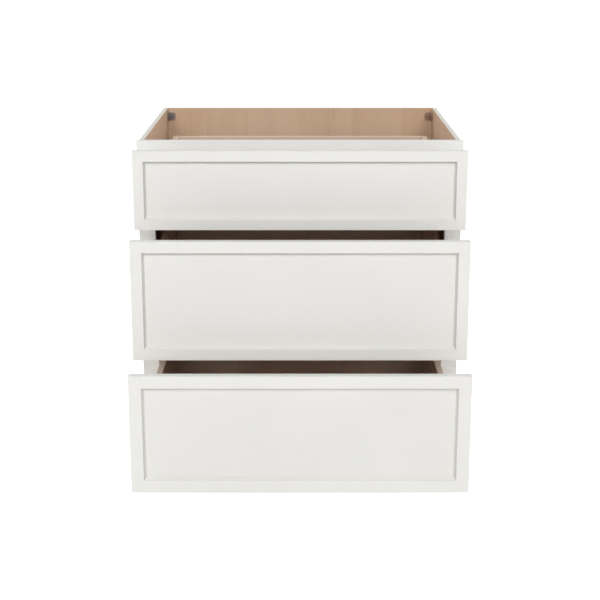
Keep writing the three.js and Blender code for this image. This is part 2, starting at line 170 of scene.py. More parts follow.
def tint(tree, shader, pattern, stops):
    """Colours the surface by a pattern, through (place, chart colour) stops."""
    ramp = add(tree, "ShaderNodeValToRGB", {"Fac": pattern})
    elements = ramp.color_ramp.elements
    first, *between, last = [(place, tone(*chart)) for place, chart in stops]
    elements[0].position, elements[0].color = first
    elements[1].position, elements[1].color = last
    for place, colour in between:
        elements.new(place).color = colour
    tree.links.new(ramp.outputs["Color"], shader.inputs["Base Color"])


def roughen(tree, shader, pattern, low, high):
    """Lets the roughness run from low to high with a pattern."""
    sizes = {"Value": pattern, "From Min": NOISE_LOW, "From Max": NOISE_HIGH}
    sizes.update({"To Min": low, "To Max": high})
    result = add(tree, "ShaderNodeMapRange", sizes).outputs["Result"]
    tree.links.new(result, shader.inputs["Roughness"])


def raise_surface(tree, shader, height, distance, strength=1.0):
    """Drives the shader's normal from a height."""
    sizes = {"Height": height, "Distance": distance, "Strength": strength}
    tree.links.new(add(tree, "ShaderNodeBump", sizes).outputs["Normal"], shader.inputs["Normal"])


def new_finish(name, **sockets):
    """A material with its shader, whose plain sockets are set here, and its Object coordinates."""
    finish = bpy.data.materials.new(name)
    finish.use_nodes = True
    tree = finish.node_tree
    shader = tree.nodes["Principled BSDF"]
    for socket, value in sockets.items():
        shader.inputs[socket.replace("_", " ")].default_value = value
    where = add(tree, "ShaderNodeTexCoord").outputs["Object"]
    return finish, tree, shader, where


# %% [markdown]
# ## White paint
#
# The fronts and the face frame are sprayed with a satin off-white. A sprayed film is never quite
# flat: it dries with a fine orange peel, it lets a little of the wood's grain come through, and its
# tone drifts by a hair over a whole front. The grain runs up the stiles and along the rails, so the
# paint is made once for each direction, and once without grain for the centre panels.
#
# In a hollow that faces sideways the paint is drawn a shade darker than on the flat, and in one
# that faces down darker still: painted shade, for the shade that falls into the hollows. A hollow
# that faces up keeps the plain paint. The face frame's paint is drawn a little lighter: painted
# light, for the shade it stands in behind the fronts. The side panels' top edges are warmer, as
# their own tone, and darker, as painted shade against the light from above. The centre panels'
# paint is a shade darker: painted shade, for their place sunk in the frame.

# %% Paint
PAINT_TONE = (236, 235, 231)
# Painted light: the face frame's paint is drawn lighter to make up for the shade it stands in.
FRAME_TONE_WITH_PAINTED_LIGHT = (241, 242, 240)
# Warmer as the edges' own tone, and darker as painted shade against the light from above.
TOP_EDGE_TONE_WITH_PAINTED_SHADE = (225, 221, 213)
# Painted shade: the centre panel's paint is drawn darker for its place sunk in the frame.
PANEL_TONE_WITH_PAINTED_SHADE = (232, 231, 227)
# Painted shade: the paint in a hollow that faces sideways is drawn darker for the shade in it.
PAINTED_SHADE_FACING_SIDEWAYS = (219, 217, 212)
# Painted shade: darker still in a hollow that faces down, under a rail.
PAINTED_SHADE_FACING_DOWN = (208, 206, 201)
DRIFT_LIGHTER, DRIFT_DARKER = 1.5, 2.0
DRIFT_SCALE, PEEL_SCALE, GRAIN_SCALE = 4.0, 420.0, 700.0
GRAIN_DRAWN_OUT = 0.04
SATIN = (0.38, 0.46)
FILM_RELIEF, FILM_STRENGTH = 0.03 * MM, 0.6


def sprayed_paint(name, chart=PAINT_TONE, grain=None):
    finish, tree, shader, where = new_finish(name, Specular_IOR_Level=0.35)
    light = [value + DRIFT_LIGHTER for value in chart]
    dark = [value - DRIFT_DARKER for value in chart]
    drift = noise(tree, where, DRIFT_SCALE, 3.0)
    tint(tree, shader, drift, [(NOISE_LOW, dark), (NOISE_HIGH, light)])
    height = noise(tree, where, PEEL_SCALE, 2.0)
    roughen(tree, shader, height, *SATIN)
    if grain is not None:
        along = stretched(tree, where, grain, GRAIN_DRAWN_OUT)
        height = maths(tree, "ADD", height, noise(tree, along, GRAIN_SCALE, 3.0))
    raise_surface(tree, shader, height, FILM_RELIEF, FILM_STRENGTH)
    return finish


paint_upright = sprayed_paint("paint_upright_grain", grain=ALONG_Z)
paint_level = sprayed_paint("paint_level_grain", grain=ALONG_X)
# The face frame's paints carry painted light.
frame_upright = sprayed_paint("paint_frame_upright_with_painted_light", FRAME_TONE_WITH_PAINTED_LIGHT, ALONG_Z)
frame_level = sprayed_paint("paint_frame_level_with_painted_light", FRAME_TONE_WITH_PAINTED_LIGHT, ALONG_X)
# The centre panels' paint, with painted shade.
paint_plain = sprayed_paint("paint_centre_panel_with_painted_shade", PANEL_TONE_WITH_PAINTED_SHADE)
# These two paints carry painted shade for the hollows.
paint_shaded_facing_sideways = sprayed_paint("paint_with_painted_shade_facing_sideways", PAINTED_SHADE_FACING_SIDEWAYS)
paint_shaded_facing_down = sprayed_paint("paint_with_painted_shade_facing_down", PAINTED_SHADE_FACING_DOWN)
# The side panels' top edges: their own warmer tone with painted shade.
paint_top_edge_with_painted_shade = sprayed_paint("paint_top_edge_with_painted_shade", TOP_EDGE_TONE_WITH_PAINTED_SHADE, ALONG_Y)
print("paint:", paint_upright.name, paint_level.name, paint_plain.name)

# %% [markdown]
# ## Clear maple
#
# Inside, the cabinet and its drawer boxes are maple under a clear coat. Maple is a quiet wood: pale
# tan, with broad soft bands, fine fibres and short dark pores that all run with the grain. One
# texture that is drawn out along the grain gives each of these, at three scales. The wide panels
# are faced with strips of veneer, so their tone steps a little from strip to strip. The inner faces
# of the side panels are drawn a shade darker: painted shade, for the shade inside the cabinet.
#
# The drawer boxes are of solid maple. Their top edges are drawn in the palest wood tones here.
# Across the grain the wood shows its cut ends: darker, and dotted instead of streaked. That is what
# makes the dovetails stand out.

# %% Maple
VENEER_TONES = ((221, 191, 164), (213, 182, 154), (204, 171, 142))
SOLID_TONES = ((212, 191, 174), (203, 181, 164), (191, 168, 150))
# The boxes' top edges, drawn paler than their faces.
TOP_EDGE_WOOD_TONES = ((232, 208, 189), (225, 200, 180), (214, 188, 169))
TONE_PLACES = (0.25, 0.55, 0.8)
# Painted shade: the inner faces of the side panels are drawn darker for the shade inside the
# cabinet.
INSIDE_PAINTED_SHADE, END_SHADE = 0.965, 0.84
BAND_SCALE, BANDS_DRAWN_OUT = 16.0, 0.09
FIBRE_SCALE, FIBRES_DRAWN_OUT, FIBRE_SHARE = 520.0, 0.03, 0.35
VENEER_STRIP, STRIP_SHARE = 0.19, 0.1
ENDLESS = 1000.0
FIGURE_CENTRE = 0.17
RING_SCALE, PORE_SCALE, PORE_SHARE = 90.0, 1500.0, -0.4
END_CENTRE = 0.2
CLEAR_COAT = {"Coat_Weight": 0.15, "Coat_Roughness": 0.35, "Specular_IOR_Level": 0.4}
WOOD_RELIEF = 0.05 * MM


def maple_tones(charts, shade=1.0):
    """Light, middle and dark wood, each at its place in the figure."""
    shaded = [[value * shade for value in chart] for chart in charts]
    return list(zip(TONE_PLACES, shaded))


def maple(name, grain, charts, strips=False, shade=1.0):
    finish, tree, shader, where = new_finish(name, **CLEAR_COAT)
    bands = noise(tree, stretched(tree, where, grain, BANDS_DRAWN_OUT), BAND_SCALE, 5.0, 0.7)
    fibres = noise(tree, stretched(tree, where, grain, FIBRES_DRAWN_OUT), FIBRE_SCALE, 3.0)
    figure = maths(tree, "MULTIPLY_ADD", fibres, FIBRE_SHARE, bands)
    if strips:
        strip = [ENDLESS if axis == grain else VENEER_STRIP for axis in range(3)]
        leaf = add(tree, "ShaderNodeVectorMath", {0: where, 1: strip}, operation="SNAP")
        chance = add(tree, "ShaderNodeTexWhiteNoise", {"Vector": leaf.outputs["Vector"]})
        figure = maths(tree, "MULTIPLY_ADD", chance.outputs["Value"], STRIP_SHARE, figure)
    centred = maths(tree, "SUBTRACT", figure, FIGURE_CENTRE)
    tint(tree, shader, centred, maple_tones(charts, shade))
    roughen(tree, shader, fibres, 0.44, 0.6)
    raise_surface(tree, shader, fibres, WOOD_RELIEF, 0.7)
    return finish


def maple_end(name, grain):
    """The cut ends of the fibres: rings seen head on, and dots for pores."""
    finish, tree, shader, where = new_finish(name, Specular_IOR_Level=0.3)
    flat = stretched(tree, where, grain, 0.0)
    rings = noise(tree, flat, RING_SCALE, 3.0, 1.5)
    pores = add(tree, "ShaderNodeTexVoronoi", {"Vector": flat, "Scale": PORE_SCALE})
    dots = pores.outputs["Distance"]
    figure = maths(tree, "MULTIPLY_ADD", dots, PORE_SHARE, rings)
    centred = maths(tree, "ADD", figure, END_CENTRE)
    tint(tree, shader, centred, maple_tones(SOLID_TONES, END_SHADE))
    roughen(tree, shader, dots, 0.6, 0.8)
    raise_surface(tree, shader, dots, WOOD_RELIEF)
    return finish


box_boards = []
for grain, letter in ((ALONG_X, "x"), (ALONG_Y, "y")):
    face = maple(f"box_maple_grain_{letter}", grain, SOLID_TONES)
    edge_on_top = maple(f"box_maple_top_edge_{letter}", grain, TOP_EDGE_WOOD_TONES)
    box_boards.append([face, maple_end(f"box_maple_ends_{letter}", grain), edge_on_top])
veneer_upright = maple("maple_veneer_upright", ALONG_Z, VENEER_TONES, strips=True)
veneer_level = maple("maple_veneer_level", ALONG_X, VENEER_TONES, strips=True)
# The side panels' inner veneer, with painted shade.
veneer_side = maple("maple_veneer_inside_with_painted_shade", ALONG_Z, VENEER_TONES, strips=True, shade=INSIDE_PAINTED_SHADE)
print("veneer tones, light to dark:", VENEER_TONES)

# %% [markdown]
# A plywood edge is a stack of veneers whose grain turns by a quarter from layer to layer, so light
# and dark lines take turns. A wave across the board's thickness draws them, and a noise that is
# drawn out along them keeps the lines from looking ruled.

# %% Plywood edges
PLY_LAYER = 1.6 * MM
PLY_WAVES = {"Scale": math.pi / 20 / PLY_LAYER, "Distortion": 1.2, "Detail": 1.0}
PLY_FIBRE_SCALE, PLY_FIBRES_DRAWN_OUT = 900.0, 0.08
PLY_SHADE = 0.97
PLY_RELIEF = 0.06 * MM


def ply_edge(name, through):
    """Plywood's layers, stacked along the axis that runs through the board."""
    finish, tree, shader, where = new_finish(name, Specular_IOR_Level=0.25, Roughness=0.7)
    waves = {"Vector": where, **PLY_WAVES}
    layers = add(tree, "ShaderNodeTexWave", waves, bands_direction="XYZ"[through])
    along = stretched(tree, where, through, 1.0, PLY_FIBRES_DRAWN_OUT)
    fibres = noise(tree, along, PLY_FIBRE_SCALE, 2.0)
    figure = maths(tree, "MULTIPLY_ADD", layers.outputs["Fac"], 0.5, fibres)
    tint(tree, shader, figure, maple_tones(VENEER_TONES, PLY_SHADE))
    raise_surface(tree, shader, figure, PLY_RELIEF)
    return finish


ply_edge_x = ply_edge("ply_edge_of_side", ALONG_X)
ply_edge_y = ply_edge("ply_edge_of_back", ALONG_Y)
print("plywood layers of", round(PLY_LAYER / MM, 1), "mm")

# %% [markdown]
# ## Steel and plastic
#
# The runners are rolled from galvanised sheet: a metal whose zinc has frozen into dull and bright
# flakes, with fine lines along the rolling direction. The screws are plain bright zinc.

# %% Metals
FLAKE_GREYS = ((0.0, (146, 149, 152)), (0.6, (162, 164, 167)), (1.0, (180, 182, 184)))
ZINC_GREYS = ((NOISE_LOW, (158, 158, 154)), (NOISE_HIGH, (192, 192, 188)))
FLAKE_SCALE, ROLL_SCALE, ROLL_DRAWN_OUT = 170.0, 1400.0, 0.02
ROLL_RELIEF = 0.02 * MM
TARNISH_SCALE = 300.0


def galvanised(name):
    finish, tree, shader, where = new_finish(name, Metallic=1.0)
    sizes = {"Vector": where, "Scale": FLAKE_SCALE, "Randomness": 1.0}
    flakes = add(tree, "ShaderNodeTexVoronoi", sizes).outputs["Color"]
    value = add(tree, "ShaderNodeSeparateColor", {"Color": flakes}).outputs["Red"]
    tint(tree, shader, value, FLAKE_GREYS)
    rolled = noise(tree, stretched(tree, where, ALONG_Y, ROLL_DRAWN_OUT), ROLL_SCALE, 2.0)
    roughen(tree, shader, rolled, 0.28, 0.46)
    raise_surface(tree, shader, rolled, ROLL_RELIEF, 0.5)
    return finish


def zinc(name):
    finish, tree, shader, where = new_finish(name, Metallic=1.0)
    dulled = noise(tree, where, TARNISH_SCALE, 3.0)
    tint(tree, shader, dulled, ZINC_GREYS)
    roughen(tree, shader, dulled, 0.2, 0.38)
    return finish


steel_sheet = galvanised("galvanised_steel")
zinc_screw = zinc("zinc_plated_screw")
print("metals:", steel_sheet.name, zinc_screw.name)

# %% [markdown]
# The two corner brackets are moulded in a dark grey and in a brown plastic, the clips in a light
# grey one, and the bumpers are of a pale gel. A moulding has a faint cloud in its colour and the
# fine grain of the mould on its surface.

# %% Plastics
CLOUD_SCALE, MOULD_SCALE = 60.0, 1800.0
CLOUD_DARK, CLOUD_LIGHT = 0.93, 1.05
MOULD_RELIEF = 0.03 * MM


def moulded(name, chart, roughness=0.5, **sockets):
    finish, tree, shader, where = new_finish(name, **sockets)
    dark, light = ([value * share for value in chart] for share in (CLOUD_DARK, CLOUD_LIGHT))
    cloud = noise(tree, where, CLOUD_SCALE, 3.0)
    tint(tree, shader, cloud, [(NOISE_LOW, dark), (NOISE_HIGH, light)])
    mould = noise(tree, where, MOULD_SCALE, 2.0)
    roughen(tree, shader, mould, roughness - 0.06, roughness + 0.08)
    raise_surface(tree, shader, mould, MOULD_RELIEF)
    return finish


grey_plastic = moulded("grey_moulded_plastic", (129, 121, 115))
brown_plastic = moulded("brown_moulded_plastic", (154, 122, 104))
clip_plastic = moulded("clip_plastic", (150, 152, 154))
bumper_gel = moulded("bumper_gel", (214, 214, 208), 0.3, Specular_IOR_Level=0.5)
print("finishes in all:", len(bpy.data.materials))

# %% [markdown]
# ## From a solid to a finished piece
#
# The part's solids are exact, but their edges are knife-sharp, and no real board has such edges: a
# joiner eases them with a pass of sandpaper, and each eased edge catches a thin line of light. So
# each solid is copied, its loose triangles are welded, its flat faces are made whole again, and the
# edges that a hand would meet are rounded by a bevel. The flat faces stay flat-shaded and only the
# narrow rounds are smooth, which keeps large faces free of shading errors.
#
# The CAD solid itself is never touched. The finished piece takes its place by name.

# %% Helpers for finished pieces
WELD = 0.005 * MM
TOUCH = 0.02 * MM
FLAT = math.radians(0.5)
SHARP = math.radians(50)


def welded(node):
    """A copy of a solid's mesh, joined, with whole flat faces."""
    bm = bmesh.new()
    bm.from_mesh(frame["nodes"][node].data)
    bmesh.ops.remove_doubles(bm, verts=bm.verts, dist=WELD)
    bmesh.ops.dissolve_limit(bm, angle_limit=FLAT, verts=bm.verts, edges=bm.edges)
    return bm


def score(bm, axis, value):
    """Scores a line round the piece, so that an edge can be eased up to it."""
    normal = Vector([float(axis == number) for number in range(3)])
    whole = [*bm.verts, *bm.edges, *bm.faces]
    bmesh.ops.bisect_plane(bm, geom=whole, dist=WELD, plane_co=normal * value, plane_no=normal)


def sharp(edge):
    """True for an edge that sticks out by a good turn."""
    return edge.is_convex and edge.calc_face_angle(0) > SHARP


def ease(bm, chosen, radius, segments=2):
    """Rounds the chosen edges."""
    edges = [edge for edge in bm.edges if chosen(edge)]
    round_over = {"offset": radius, "segments": segments, "profile": 0.5, "affect": "EDGES"}
    for face in bmesh.ops.bevel(bm, geom=edges, **round_over)["faces"]:
        face.smooth = True
    return len(edges)


def check_closed(bm, name):
    """Stops the script at a mesh that is open or turned inside out."""
    open_edges = sum(not edge.is_contiguous for edge in bm.edges)
    if open_edges or bm.calc_volume(signed=True) <= 0:
        raise RuntimeError(f"{name} is not a closed mesh: {open_edges} open edges")


def new_mesh(bm, name, finishes):
    """Turns finished work into a mesh with its finishes."""
    check_closed(bm, name)
    mesh = bpy.data.meshes.new(name)
    bm.to_mesh(mesh)
    bm.free()
    for finish in finishes:
        mesh.materials.append(finish)
    return mesh


def new_piece(mesh, body):
    """A visible piece that moves with a body."""
    piece = bpy.data.objects.new(mesh.name, mesh)
    scene.collection.objects.link(piece)
    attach(piece, body)
    return piece


def finish_piece(bm, node, finishes):
    """Makes the piece that stands for a solid, on the solid's own body."""
    body = body_of(frame["nodes"][node])[0]
    piece = new_piece(new_mesh(bm, f"{node}_finished", finishes), body)
    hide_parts(node)


# %% [markdown]
# ## The face frame
#
# Two stiles and two rails are glued up, and then the frame is sanded as one: its outer edges are
# eased, and the joints between stile and rail stay crisp. So the edges to round are those on the
# arrises of the whole frame's box, and not those of each stick.

# %% Face frame
FRAME_EASE = 0.5 * MM
STICKS = ("stile_left", "stile_right", "top_rail", "bottom_rail")


def planes_at(point, low, high):
    """The planes of a box that a point lies on."""
    return {
        (axis, end)
        for axis in range(3)
        for end, corner in enumerate((low, high))
        if abs(point[axis] - corner[axis]) < TOUCH
    }


def on_arrises(low, high):
    """Chooses the edges that lie on the arrises of a box."""

    def chosen(edge):
        start, end = (planes_at(vert.co, low, high) for vert in edge.verts)
        return len(start & end) >= 2

    return chosen


frame_arrises = on_arrises(face_frame_low, face_frame_high)
for stick in STICKS:
    node = f"face_{stick}"
    wood = welded(node)
    eased = ease(wood, frame_arrises, FRAME_EASE, 3)
    finish_piece(wood, node, [frame_upright if "stile" in stick else frame_level])
    print(node, "with", eased, "eased edges")

# %% [markdown]
# ## The carcass
#
# The side panels are veneered plywood, painted outside and clear maple inside. The edges against
# the wall and the floor are left as sawn. The top edge is painted up to a thin line of bare wood
# along the inside, which the photograph shows. That line needs an edge in the mesh, so the panel is
# scored there, and each face takes its finish by the way that it faces.

# %% Side panels
BARE_LINE = 1.4 * MM
BOARD_EASE = 0.5 * MM
LEANS, FACES = 0.3, 0.6  # how much of a face's normal points a way
PANEL_PAINT, PANEL_MAPLE, PANEL_EDGE, PANEL_TOP = range(4)
PANEL_FINISHES = [paint_upright, veneer_side, ply_edge_x, paint_top_edge_with_painted_shade]

for side, sign in SIDES.items():
    node = f"side_panel_{side}"
    low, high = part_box(node)
    inside = low.x if sign > 0 else high.x
    panel = welded(node)
    ease(panel, sharp, BOARD_EASE)
    score(panel, ALONG_X, inside + sign * BARE_LINE)
    for face in panel.faces:
        outward = face.normal.x * sign
        deep = (face.calc_center_median().x - inside) * sign
        bare_line = face.normal.z > LEANS and deep < BARE_LINE
        sawn = face.normal.y > FACES or face.normal.z < -FACES
        if outward < -FACES:
            face.material_index = PANEL_MAPLE
        elif bare_line or (sawn and outward < FACES):
            face.material_index = PANEL_EDGE
        # The top edge takes the paint with painted shade.
        elif face.normal.z > FACES:
            face.material_index = PANEL_TOP
        else:
            face.material_index = PANEL_PAINT
    finish_piece(panel, node, PANEL_FINISHES)
print("side panels painted outside, bare for", round(BARE_LINE / MM, 1), "mm inside")

# %% [markdown]
# The back panel and the cabinet's floor are plain plywood: veneer on the faces, layers on the
# edges. The back fits tightly between the sides, so only its level edges are eased. The floor's
# two ends sit in the sides' dadoes, and the toe kick board is painted like the fronts.


# %% Back, floor and toe kick
def sharp_and_level(edge):
    return sharp(edge) and abs(edge.verts[0].co.z - edge.verts[1].co.z) < TOUCH


back = welded("back_panel")
ease(back, sharp_and_level, BOARD_EASE)
for face in back.faces:
    face.material_index = int(abs(face.normal.y) < FACES)
finish_piece(back, "back_panel", [veneer_upright, ply_edge_y])

finish_piece(welded("cabinet_floor"), "cabinet_floor", [veneer_level])

kick = welded("toe_kick_board")
ease(kick, sharp, BOARD_EASE)
finish_piece(kick, "toe_kick_board", [paint_level])
print("back and toe kick have edges eased by", BOARD_EASE / MM, "mm")

# %% [markdown]
# ## The corner brackets
#
# A moulded bracket sits high in each back corner and takes the worktop's screws. The photograph
# shows a dark grey one on the left and a browner one on the right. Moulded plastic has no sharp
# edge at all, so every convex edge is rounded.

# %% Corner brackets
BRACKET_EASE = 0.7 * MM
BRACKETS = {"left": (grey_plastic, "grey_plastic"), "right": (brown_plastic, "brown_plastic")}

for side, (plastic, slot) in BRACKETS.items():
    node = f"corner_bracket_{side}"
    bracket = welded(node)
    eased = ease(bracket, sharp, BRACKET_EASE)
    finish_piece(bracket, node, [plastic])
    print(node, "with", eased, "rounded edges")

# %% [markdown]
# ## The drawer fronts
#
# Each front is five pieces: two stiles, two rails and a centre panel in their grooves. The hollow
# inner edge is in the solids already, in narrow facets, so it is only shaded smooth here. Like the
# face frame, a front is sanded after it is glued up, so only its outside is rounded, front and
# back, and the joints between stiles and rails stay tight. A rail's tenon is a little short for its
# groove. Glue and paint close that slit, so here the tenon's end is drawn out nearly to the foot.

# %% Drawer fronts
FRONT_EASE = 0.5 * MM
HOLLOW_TURN = math.radians(25)
SQUARE = 0.999
TENON_GAP = 0.75 * MM
# The hollows take the paint with painted shade; the bottom rail's hollow faces up and keeps plain
# paint.
STILE_FINISHES = [paint_upright, paint_shaded_facing_sideways]
RAIL_FINISHES = [paint_level, paint_shaded_facing_down]


def draw_out_tenons(bm):
    """Moves the farthest faces of a rail outwards, at both ends."""
    reach = max(vert.co.x for vert in bm.verts)
    for vert in bm.verts:
        if abs(vert.co.x) > reach - TOUCH:
            vert.co.x += math.copysign(TENON_GAP, vert.co.x)


def shade_hollow(bm, shade_painted_in):
    """Smooths the hollow's facets, and gives them the second finish, the paint with painted shade,
    if asked.
    """
    for face in bm.faces:
        hollow = max(abs(value) for value in face.normal) < SQUARE
        face.smooth = hollow
        face.material_index = int(hollow and shade_painted_in)
    for edge in bm.edges:
        edge.smooth = edge.calc_face_angle(0) < HOLLOW_TURN


def front_box(drawer):
    """The lowest and highest corner of a whole front."""
    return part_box(f"{drawer}_front_stile_left")[0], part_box(f"{drawer}_front_stile_right")[1]


for drawer in DRAWERS:
    low, high = front_box(drawer)
    front_arrises = on_arrises(low, high)
    for stick in STICKS:
        node = f"{drawer}_front_{stick}"
        is_rail = "rail" in stick
        wood = welded(node)
        if is_rail:
            draw_out_tenons(wood)
        # Every hollow but the bottom rail's, which faces up, gets the painted shade.
        shade_hollow(wood, stick != "bottom_rail")
        ease(wood, front_arrises, FRONT_EASE, 4)
        finish_piece(wood, node, RAIL_FINISHES if is_rail else STILE_FINISHES)
    node = f"{drawer}_front_panel"
    finish_piece(welded(node), node, [paint_plain])
    print(drawer, "front is", round((high.z - low.z) / MM, 1), "mm high")

# %% [markdown]
# ## The drawer boxes
#
# Four maple boards are dovetailed at the corners. The tails are on the sides and the pins on the
# front and back, as drawers are made, so that a pull on the front cannot draw the box apart. The
# grain runs along each board. A face that is square to the grain is a cut end and takes the finish
# for ends: the tails show theirs at the back, the pins show theirs at the sides.
#
# The top edges are rounded where a hand reaches in. The round stops short of each corner, as a
# router's does, so each board is scored there first.

# %% Drawer boxes
BOX_EASE = 1.5 * MM
ROUND_STOPS = 3 * MM
CUT_ACROSS = 0.9
BOARD_FACE, BOARD_END, BOARD_TOP = range(3)


def cut_faces(bm, grain, top):
    """Tells the cut ends and the top edge from the faces of a board."""
    for face in bm.faces:
        edge_on_top = face.normal.z > LEANS and face.calc_center_median().z > top - 2 * BOX_EASE
        ended = abs(face.normal[grain]) > CUT_ACROSS
        face.material_index = BOARD_END if ended else BOARD_TOP if edge_on_top else BOARD_FACE


def top_arrises(top, grain, start, end):
    """Chooses the long top edges of a board between two points along its grain."""

    def chosen(edge):
        level = all(abs(vert.co.z - top) < TOUCH for vert in edge.verts)
        places = [vert.co[grain] for vert in edge.verts]
        along = abs(edge.verts[0].co[1 - grain] - edge.verts[1].co[1 - grain]) < TOUCH
        inside = min(places) > start - TOUCH and max(places) < end + TOUCH
        return level and along and inside and sharp(edge)

    return chosen


def box_board(node, grain, top, start, end):
    """Rounds a board's top edges from start to end along its grain, and finishes it."""
    board = welded(node)
    score(board, grain, start)
    score(board, grain, end)
    ease(board, top_arrises(top, grain, start, end), BOX_EASE, 3)
    cut_faces(board, grain, top)
    finish_piece(board, node, box_boards[grain])


for drawer in DRAWERS:
    front_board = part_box(f"{drawer}_box_front")
    back_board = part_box(f"{drawer}_box_back")
    top = front_board[1].z
    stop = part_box(f"{drawer}_box_side_right")[0].x - ROUND_STOPS
    for end in ("front", "back"):
        box_board(f"{drawer}_box_{end}", ALONG_X, top, -stop, stop)
    start, finish = front_board[1].y + ROUND_STOPS, back_board[0].y - ROUND_STOPS
    for side in SIDES:
        box_board(f"{drawer}_box_side_{side}", ALONG_Y, top, start, finish)
    node = f"{drawer}_box_bottom"
    finish_piece(welded(node), node, box_boards[ALONG_Y][:1])
    print(drawer, "box: top at", round(top / MM, 1), "mm")

# %% [markdown]
# ## The runners
#
# Three steel members per side run inside each other, all rolled from sheet. A fold in sheet steel
# is never sharp, so the long edges that run with the fold are rounded. The short cut edges stay
# sharp.

# %% Runners
FOLD = 0.35 * MM
SHORTEST_FOLD = 50 * MM
STRAIGHT = 0.99


def long_fold(edge):
    span = edge.verts[1].co - edge.verts[0].co
    reach = abs(span.y)
    return sharp(edge) and reach > SHORTEST_FOLD and reach > STRAIGHT * span.length


for drawer in DRAWERS:
    for member in ("rail", "carriage", "slide"):
        for side in SIDES:
            node = f"{drawer}_runner_{member}_{side}"
            channel = welded(node)
            folds = ease(channel, long_fold, FOLD)
            finish_piece(channel, node, [steel_sheet])
    print(drawer, "runners: the last member has", folds, "folds")

# %% [markdown]
# ## Small fittings that repeat
#
# Screws, bumpers and bearing balls come in dozens, and each is one small shape that is set down
# many times. That is what Geometry Nodes are for. The input is a mesh of loose points, each of
# which knows which way its fitting faces. The tree shapes one fitting from named sizes, stands a
# copy on every point, makes the copies real and gives them their finish. The result is then kept as
# a plain mesh, one for each body, because it has to leave Blender without its modifier.

# %% Helpers for trees of Geometry Nodes
LENGTH, NUMBER = "Float", "Int"


def new_tree(name, sizes):
    """A tree with inputs for its points, sizes (label: kind, value), seed and finish."""
    tree = bpy.data.node_groups.new(name, "GeometryNodeTree")
    tree.interface.new_socket("Points", in_out="INPUT", socket_type="NodeSocketGeometry")
    inputs = {**sizes, "Seed": (NUMBER, 1), "Finish": ("Material", None)}
    for label, (kind, value) in inputs.items():
        made = tree.interface.new_socket(label, in_out="INPUT", socket_type=f"NodeSocket{kind}")
        if value is not None:
            made.default_value = value
    tree.interface.new_socket("Fittings", in_out="OUTPUT", socket_type="NodeSocketGeometry")
    return tree, add(tree, "NodeGroupInput").outputs, add(tree, "NodeGroupOutput").inputs


def at_points(tree):
    """The X, Y and Z of the points of a mesh."""
    place = add(tree, "GeometryNodeInputPosition").outputs[0]
    return add(tree, "ShaderNodeSeparateXYZ", {0: place}).outputs


def vector(tree, **parts):
    return add(tree, "ShaderNodeCombineXYZ", parts).outputs[0]


def stand_on_points(tree, given, fitting):
    """Stands a fitting on each point, turned to its facing and spun by chance about its axis."""
    facing = add(
        tree, "GeometryNodeInputNamedAttribute", {"Name": "facing"}, data_type="FLOAT_VECTOR"
    ).outputs["Attribute"]
    upright = add(tree, "FunctionNodeAlignRotationToVector", {"Vector": facing}, axis="Z")
    chance = add(tree, "FunctionNodeRandomValue", {2: 0.0, 3: math.tau, 8: given["Seed"]})
    spin = add(tree, "FunctionNodeAxisAngleToRotation", {"Angle": chance.outputs[1]})
    turns = {"Rotation": upright.outputs[0], "Rotate By": spin.outputs[0]}
    turned = add(tree, "FunctionNodeRotateRotation", turns, rotation_space="LOCAL")
    copies = {"Points": given["Points"], "Instance": fitting, "Rotation": turned.outputs[0]}
    return add(tree, "GeometryNodeInstanceOnPoints", copies).outputs[0]


def deliver(tree, given, result, copies):
    """Makes the copies real and gives them their finish."""
    real = add(tree, "GeometryNodeRealizeInstances", {0: copies}).outputs[0]
    ready = add(tree, "GeometryNodeSetMaterial", {"Geometry": real, "Material": given["Finish"]})
    tree.links.new(ready.outputs[0], result["Fittings"])


def crisp(tree, mesh, angle):
    """Smooth faces, apart from the edges that turn by more than an angle."""
    smooth = add(tree, "GeometryNodeSetShadeSmooth", {"Geometry": mesh}).outputs[0]
    turn = add(tree, "GeometryNodeInputMeshEdgeAngle").outputs["Unsigned Angle"]
    sharp_edge = maths(tree, "GREATER_THAN", turn, angle)
    options = {"Geometry": smooth, "Selection": sharp_edge, "Shade Smooth": False}
    return add(tree, "GeometryNodeSetShadeSmooth", options, domain="EDGE").outputs[0]


def set_down(name, tree, places, body, slot, **sizes):
    """Runs a tree on places (point, facing) and keeps the result as a plain mesh on a body."""
    points = bpy.data.meshes.new(name + "_points")
    points.from_pydata([point for point, _ in places], [], [])
    facing = points.attributes.new("facing", "FLOAT_VECTOR", "POINT")
    for value, (_, way) in zip(facing.data, places):
        value.vector = way
    carrier = bpy.data.objects.new(name + "_points", points)
    scene.collection.objects.link(carrier)
    modifier = carrier.modifiers.new("fittings", "NODES")
    modifier.node_group = tree
    for item in tree.interface.items_tree:
        if item.name in sizes and item.in_out == "INPUT":
            modifier[item.identifier] = sizes[item.name]
    graph = bpy.context.evaluated_depsgraph_get()
    mesh = bpy.data.meshes.new_from_object(carrier.evaluated_get(graph))
    mesh.name = name
    bpy.data.objects.remove(carrier)
    fittings = bmesh.new()
    fittings.from_mesh(mesh)
    check_closed(fittings, name)
    fittings.free()
    new_piece(mesh, body)
    print(name, "on", len(places), "points:", len(mesh.polygons), "faces")


# %% [markdown]
# ### Screws
#
# A pan head is a short drum whose side curves in towards a small flat top. The tree takes a drum in
# rings, pulls each ring in by the height it stands at, and cuts a cross for the driver with a Mesh
# Boolean, whose exact solver leaves a closed mesh. Each screw ends its turn at an angle of its own,
# so a fixed seed spins them.

# %% The screw tree
HEAD_SIDES, HEAD_RINGS = 20, 4
HEAD_DROP = 0.75
CROSS_LENGTH, CROSS_WIDTH = 0.46, 0.11  # shares of the head's diameter
CROSS_LIFT = 0.95
HEAD_CREASE = math.radians(38)


